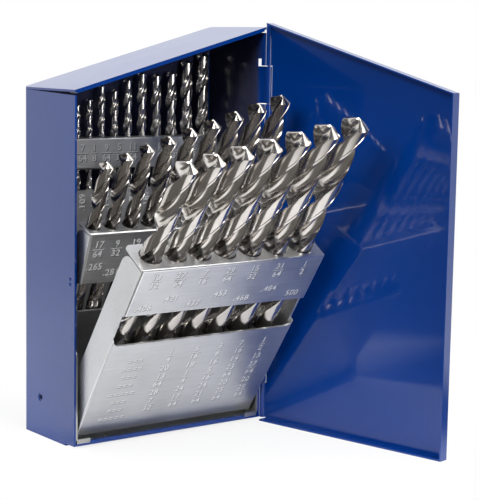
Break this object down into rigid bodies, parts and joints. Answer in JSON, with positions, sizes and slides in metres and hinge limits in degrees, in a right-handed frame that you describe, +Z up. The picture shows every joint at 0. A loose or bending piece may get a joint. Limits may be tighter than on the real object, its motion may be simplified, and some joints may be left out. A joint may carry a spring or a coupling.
{
  "type": "drill bit index case",
  "caption": "Upright sheet-steel drill index: slant-topped case with a side-hinged door and fold-out racks that hold twist drills graded by diameter.",
  "frame": {"origin": "centre of the case on the surface it stands on", "axes": "+Z up, +Y towards the back of the case, +X towards the door hinge; the open front faces -Y"},
  "size_m": [0.1323, 0.1566, 0.197],
  "materials": {
    "blue_paint": "gloss enamel",
    "zinc_steel": "satin zinc plate",
    "polished_steel": "polished high speed steel",
    "wire_steel": "dark bare wire"
  },
  "bodies": {
    "case": {"case_shell": "blue_paint", "hinge_wire": "wire_steel", "rack_carrier": "zinc_steel", "back_rack": "zinc_steel", "back_rack_seat": "zinc_steel", "back_rack_rivets": "zinc_steel", "middle_rack_rivets": "zinc_steel", "front_rack_rivets": "zinc_steel", "drill_1_16": "polished_steel", "drill_5_64": "polished_steel", "drill_3_32": "polished_steel", "drill_7_64": "polished_steel", "drill_1_8": "polished_steel", "drill_9_64": "polished_steel", "drill_5_32": "polished_steel", "drill_11_64": "polished_steel", "drill_3_16": "polished_steel", "drill_13_64": "polished_steel", "drill_7_32": "polished_steel", "drill_15_64": "polished_steel", "drill_1_4": "polished_steel"},
    "door": {"door_panel": "blue_paint"},
    "front_rack": {"front_rack": "zinc_steel", "front_rack_seat": "zinc_steel"},
    "middle_rack": {"middle_rack": "zinc_steel", "middle_rack_seat": "zinc_steel"},
    "drill_17_64": {"drill_17_64": "polished_steel"},
    "drill_9_32": {"drill_9_32": "polished_steel"},
    "drill_19_64": {"drill_19_64": "polished_steel"},
    "drill_5_16": {"drill_5_16": "polished_steel"},
    "drill_21_64": {"drill_21_64": "polished_steel"},
    "drill_11_32": {"drill_11_32": "polished_steel"},
    "drill_23_64": {"drill_23_64": "polished_steel"},
    "drill_3_8": {"drill_3_8": "polished_steel"},
    "drill_25_64": {"drill_25_64": "polished_steel"},
    "drill_13_32": {"drill_13_32": "polished_steel"},
    "drill_27_64": {"drill_27_64": "polished_steel"},
    "drill_7_16": {"drill_7_16": "polished_steel"},
    "drill_29_64": {"drill_29_64": "polished_steel"},
    "drill_15_32": {"drill_15_32": "polished_steel"},
    "drill_31_64": {"drill_31_64": "polished_steel"},
    "drill_1_2": {"drill_1_2": "polished_steel"}
  },
  "joints": [
    {"name": "door_swing", "type": "hinge", "parent": "case", "child": "door", "pos_m": [0.05575, -0.02365, 0.1], "axis": [0, 0, 1], "range_deg": [-14, 78.5]},
    {"name": "front_rack_tilt", "type": "hinge", "parent": "case", "child": "front_rack", "pos_m": [0, -0.012, 0.012], "axis": [1, 0, 0], "range_deg": [-33.4, 0]},
    {"name": "middle_rack_tilt", "type": "hinge", "parent": "case", "child": "middle_rack", "pos_m": [0, 0.0077, 0.0185], "axis": [1, 0, 0], "range_deg": [-20.2, 0]},
    {"name": "lift_17_64", "type": "slide", "parent": "middle_rack", "child": "drill_17_64", "axis": [0, -0.3616, 0.9323], "range_m": [0, 0.072]},
    {"name": "lift_9_32", "type": "slide", "parent": "middle_rack", "child": "drill_9_32", "axis": [0, -0.3616, 0.9323], "range_m": [0, 0.072]},
    {"name": "lift_19_64", "type": "slide", "parent": "middle_rack", "child": "drill_19_64", "axis": [0, -0.3616, 0.9323], "range_m": [0, 0.072]},
    {"name": "lift_5_16", "type": "slide", "parent": "middle_rack", "child": "drill_5_16", "axis": [0, -0.3616, 0.9323], "range_m": [0, 0.072]},
    {"name": "lift_21_64", "type": "slide", "parent": "middle_rack", "child": "drill_21_64", "axis": [0, -0.3616, 0.9323], "range_m": [0, 0.072]},
    {"name": "lift_11_32", "type": "slide", "parent": "middle_rack", "child": "drill_11_32", "axis": [0, -0.3616, 0.9323], "range_m": [0, 0.072]},
    {"name": "lift_23_64", "type": "slide", "parent": "middle_rack", "child": "drill_23_64", "axis": [0, -0.3616, 0.9323], "range_m": [0, 0.072]},
    {"name": "lift_3_8", "type": "slide", "parent": "middle_rack", "child": "drill_3_8", "axis": [0, -0.3616, 0.9323], "range_m": [0, 0.072]},
    {"name": "lift_25_64", "type": "slide", "parent": "middle_rack", "child": "drill_25_64", "axis": [0, -0.3616, 0.9323], "range_m": [0, 0.072]},
    {"name": "lift_13_32", "type": "slide", "parent": "front_rack", "child": "drill_13_32", "axis": [0, -0.5505, 0.8348], "range_m": [0, 0.084]},
    {"name": "lift_27_64", "type": "slide", "parent": "front_rack", "child": "drill_27_64", "axis": [0, -0.5505, 0.8348], "range_m": [0, 0.084]},
    {"name": "lift_7_16", "type": "slide", "parent": "front_rack", "child": "drill_7_16", "axis": [0, -0.5505, 0.8348], "range_m": [0, 0.084]},
    {"name": "lift_29_64", "type": "slide", "parent": "front_rack", "child": "drill_29_64", "axis": [0, -0.5505, 0.8348], "range_m": [0, 0.084]},
    {"name": "lift_15_32", "type": "slide", "parent": "front_rack", "child": "drill_15_32", "axis": [0, -0.5505, 0.8348], "range_m": [0, 0.084]},
    {"name": "lift_31_64", "type": "slide", "parent": "front_rack", "child": "drill_31_64", "axis": [0, -0.5505, 0.8348], "range_m": [0, 0.084]},
    {"name": "lift_1_2", "type": "slide", "parent": "front_rack", "child": "drill_1_2", "axis": [0, -0.5505, 0.8348], "range_m": [0, 0.084]}
  ],
  "couplings": [
    {"joint": "middle_rack_tilt", "follows": "front_rack_tilt", "ratio": 0.6}
  ]
}
